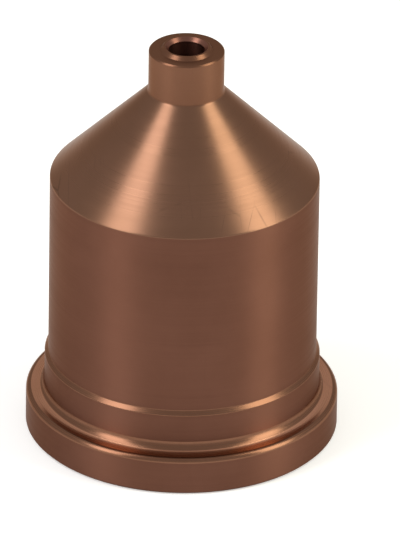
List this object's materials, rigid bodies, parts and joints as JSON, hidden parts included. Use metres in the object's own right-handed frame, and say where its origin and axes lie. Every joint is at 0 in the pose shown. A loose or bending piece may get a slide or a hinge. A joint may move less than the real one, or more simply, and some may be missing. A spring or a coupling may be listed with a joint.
{
  "type": "plasma torch nozzle",
  "caption": "Turned copper nozzle of a plasma cutting torch: a flanged foot, a plain barrel and a cone that narrows to a short nose with the orifice, bored out below for the electrode.",
  "frame": {"origin": "centre of the flange's flat face, on the turning axis", "axes": "+Z along the turning axis, from the flange towards the nose; the part is round, so X and Y are free"},
  "size_m": [0.022, 0.022, 0.0295],
  "materials": {
    "copper": "satin"
  },
  "bodies": {
    "root": {"nozzle": "copper"}
  },
  "joints": []
}
